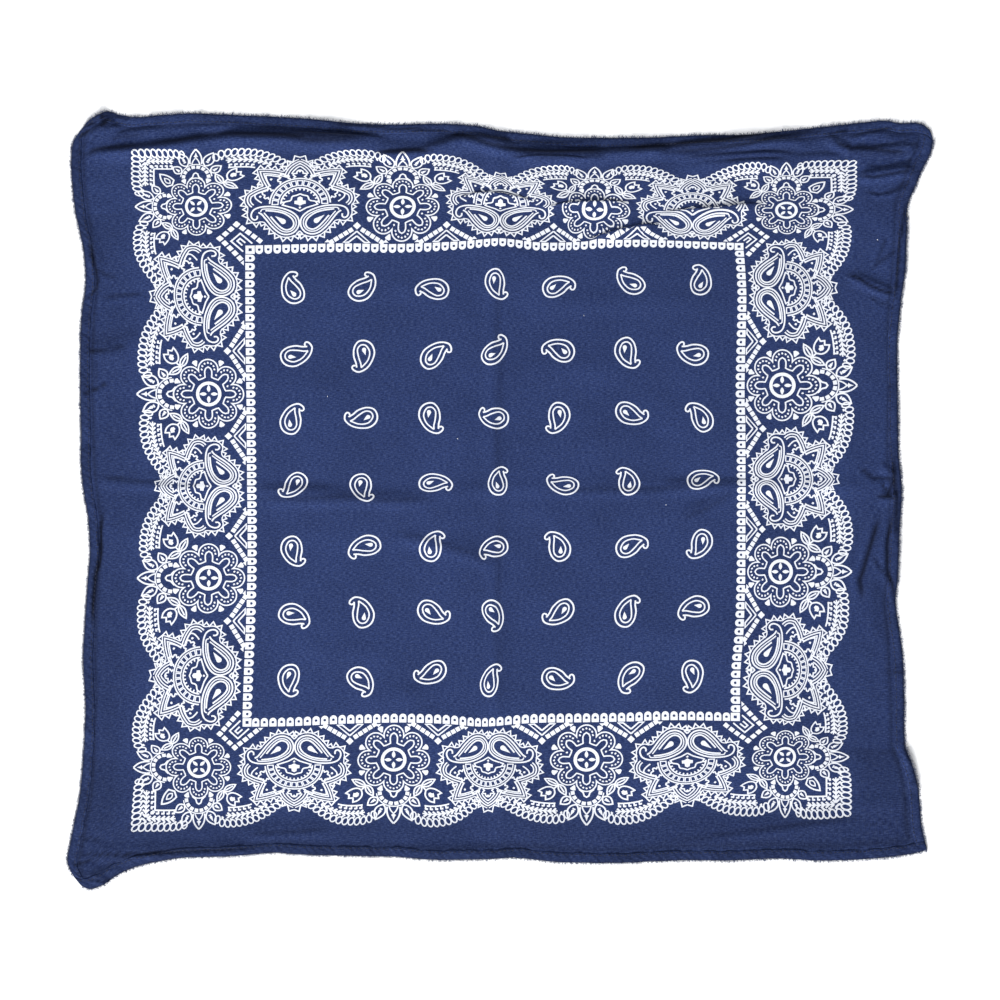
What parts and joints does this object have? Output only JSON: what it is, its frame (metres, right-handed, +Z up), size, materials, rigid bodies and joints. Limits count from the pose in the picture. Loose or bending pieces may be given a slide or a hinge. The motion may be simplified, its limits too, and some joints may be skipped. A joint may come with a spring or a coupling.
{
  "type": "bandana",
  "caption": "Open cotton bandana lying flat, nearly square, with narrow turned hems, pulled-out corners, storage creases and gathered cloth below its upper edge",
  "frame": {"origin": "on the surface that the cloth lies on, below the middle of its bounding box", "axes": "+X runs along the width to the right side as seen from above, +Y to the upper edge, +Z up from the surface, through the cloth"},
  "size_m": [0.5966, 0.5356, 0.0058],
  "materials": {
    "printed_cotton": "matt plain weave, navy with a white print",
    "hem_cotton": "matt plain weave, navy, turned and stitched"
  },
  "bodies": {
    "root": {"cloth_panel": "printed_cotton", "hem_top": "hem_cotton", "hem_bottom": "hem_cotton", "hem_left": "hem_cotton", "hem_right": "hem_cotton"}
  },
  "joints": []
}
